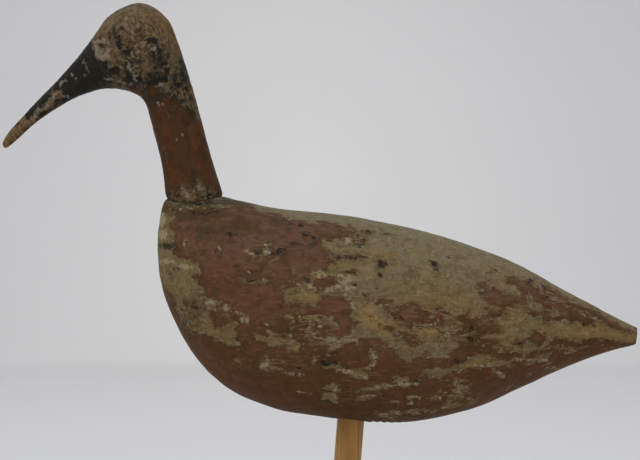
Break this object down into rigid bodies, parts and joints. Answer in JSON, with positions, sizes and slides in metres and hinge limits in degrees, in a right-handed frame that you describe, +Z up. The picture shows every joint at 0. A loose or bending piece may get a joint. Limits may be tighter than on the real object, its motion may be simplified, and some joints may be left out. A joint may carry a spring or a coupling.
{
  "type": "shorebird decoy",
  "caption": "Carved and painted wooden shorebird with a down-curved bill, held up on a leaning dowel that stands in a plain wood block.",
  "frame": {"origin": "middle of the stand block's underside", "axes": "+Z up, -X the way the bill points, +Y across the bird, which is symmetric about y = 0"},
  "size_m": [0.2967, 0.096, 0.3165],
  "materials": {
    "painted_body": "old oil paint, worn through to wood",
    "painted_head": "old dark oil paint, worn",
    "dowel_wood": "bare, smoothed by handling",
    "block_wood": "planed and oiled"
  },
  "bodies": {
    "root": {"decoy_body": "painted_body", "head_neck_and_bill": "painted_head", "dowel": "dowel_wood", "stand_block": "block_wood"}
  },
  "joints": []
}
